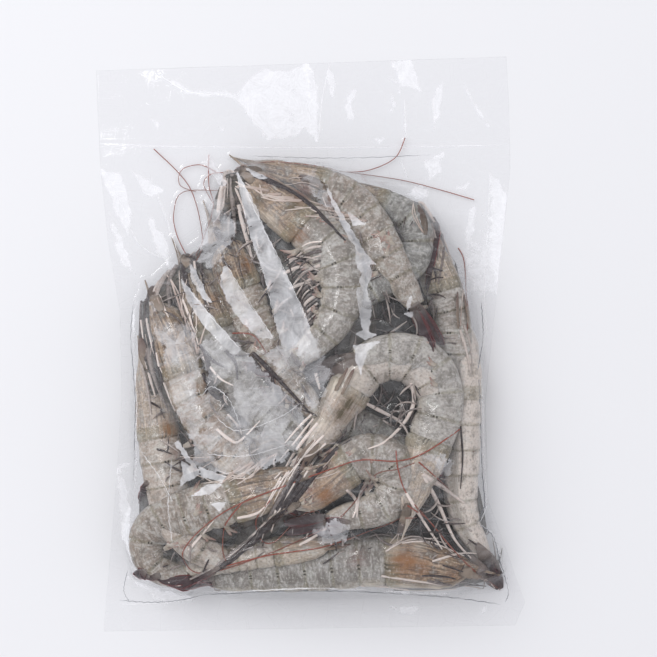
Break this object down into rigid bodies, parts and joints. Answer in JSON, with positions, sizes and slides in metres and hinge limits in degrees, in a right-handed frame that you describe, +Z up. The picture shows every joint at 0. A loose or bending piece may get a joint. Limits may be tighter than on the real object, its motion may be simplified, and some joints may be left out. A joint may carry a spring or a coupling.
{
  "type": "sealed bag of raw shrimp",
  "caption": "Clear sealed film bag lying flat, packed tight with whole raw shrimp, with an empty head above a cross seam.",
  "frame": {"origin": "on the floor under the middle of the whole bag's outline", "axes": "+X to the bag's right seen from above with its empty head at the top, +Y towards the empty head, +Z up"},
  "size_m": [0.2086, 0.2796, 0.0418],
  "materials": {
    "packed_shrimp": "wet grey-beige shrimp seen through tight clear film",
    "clear_film": "clear glossy laminate film with creases",
    "shrimp_tail": "dark purple tail fans with red tips, wet",
    "shrimp_leg": "pale translucent legs",
    "shrimp_antenna": "thin red-brown antennae",
    "pack_shadow": "dark wet hollows between shrimp"
  },
  "bodies": {
    "root": {"sealed_bag": "packed_shrimp"}
  },
  "joints": []
}
